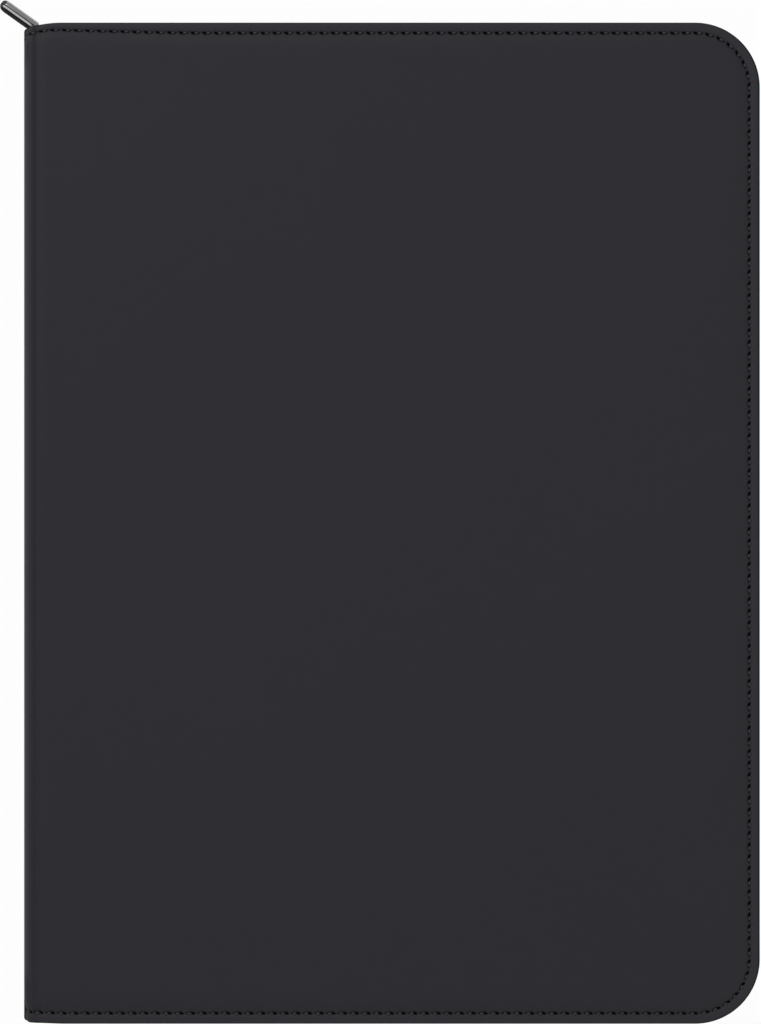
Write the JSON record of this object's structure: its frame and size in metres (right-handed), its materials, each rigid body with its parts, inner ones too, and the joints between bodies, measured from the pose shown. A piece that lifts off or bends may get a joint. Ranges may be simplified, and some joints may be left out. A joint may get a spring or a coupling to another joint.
{
  "type": "zip-round portfolio organizer",
  "caption": "Shut A4 portfolio organizer with padded black covers, a spine that folds, a zip round three sides with slider and puller, inner pockets, a pen loop and a writing pad.",
  "frame": {"origin": "centre of the back cover's flat outside face, under the middle of the shut case without its puller", "axes": "+X from the spine to the opening edge, +Y up the page, +Z from the back cover to the front cover"},
  "size_m": [0.2591, 0.3488, 0.024],
  "materials": {
    "cover_skin": "matte black coated cloth with a fine grain",
    "pocket_skin": "matte black coated cloth, thin",
    "lining": "black woven lining",
    "foam": "thin padding foam, not seen",
    "board": "grey bookbinding board, not seen",
    "zip_tape": "black herringbone tape",
    "zip_teeth": "moulded black plastic, satin",
    "black_nickel": "black nickel plate, polished",
    "elastic": "black woven elastic",
    "pad_board": "grey pad backing board",
    "paper": "plain white paper",
    "pad_binding": "black binding strip"
  },
  "bodies": {
    "back_cover": {"back_cover_skin": "cover_skin", "back_foam": "foam", "back_board": "board", "back_lining": "lining", "zip_tape_back": "zip_tape", "zip_teeth_back": "zip_teeth", "spine_fold_back": "cover_skin", "pad_pocket": "lining"},
    "spine": {"spine_skin": "cover_skin", "spine_board": "board", "spine_lining": "lining"},
    "front_cover": {"front_cover_skin": "cover_skin", "front_foam": "foam", "front_board": "board", "front_lining": "lining", "zip_tape_front": "zip_tape", "zip_teeth_front": "zip_teeth", "spine_fold_front": "cover_skin", "document_pocket": "lining", "phone_pocket": "lining", "card_panel": "lining", "card_pocket_1": "pocket_skin", "card_pocket_2": "pocket_skin", "card_pocket_3": "pocket_skin", "card_pocket_4": "pocket_skin", "pen_loop": "elastic"},
    "zip_slider": {"zip_slider": "black_nickel"},
    "zip_puller": {"zip_puller": "black_nickel"},
    "notepad": {"notepad_backing": "pad_board", "notepad_sheets": "paper", "notepad_binding": "pad_binding"}
  },
  "joints": [
    {"name": "spine_fold", "type": "hinge", "parent": "back_cover", "child": "spine", "pos_m": [-0.12425, 0, 0.00075], "axis": [0, -1, 0], "range_deg": [0, 90], "deforming": ["spine_fold_back"]},
    {"name": "front_fold", "type": "hinge", "parent": "spine", "child": "front_cover", "pos_m": [-0.12425, 0, 0.02325], "axis": [0, -1, 0], "range_deg": [0, 90], "deforming": ["spine_fold_front"]},
    {"name": "zip_slide", "type": "slide", "parent": "back_cover", "child": "zip_slider", "axis": [1, 0, 0], "range_m": [0, 0.2], "deforming": ["zip_teeth_front", "zip_teeth_back"]},
    {"name": "puller_swing", "type": "hinge", "parent": "zip_slider", "child": "zip_puller", "pos_m": [-0.1181, 0.1669, 0.012], "axis": [0, 0, 1], "range_deg": [-130, 0]},
    {"name": "notepad_slide", "type": "slide", "parent": "back_cover", "child": "notepad", "axis": [0, 1, 0], "range_m": [0, 0.013]}
  ]
}
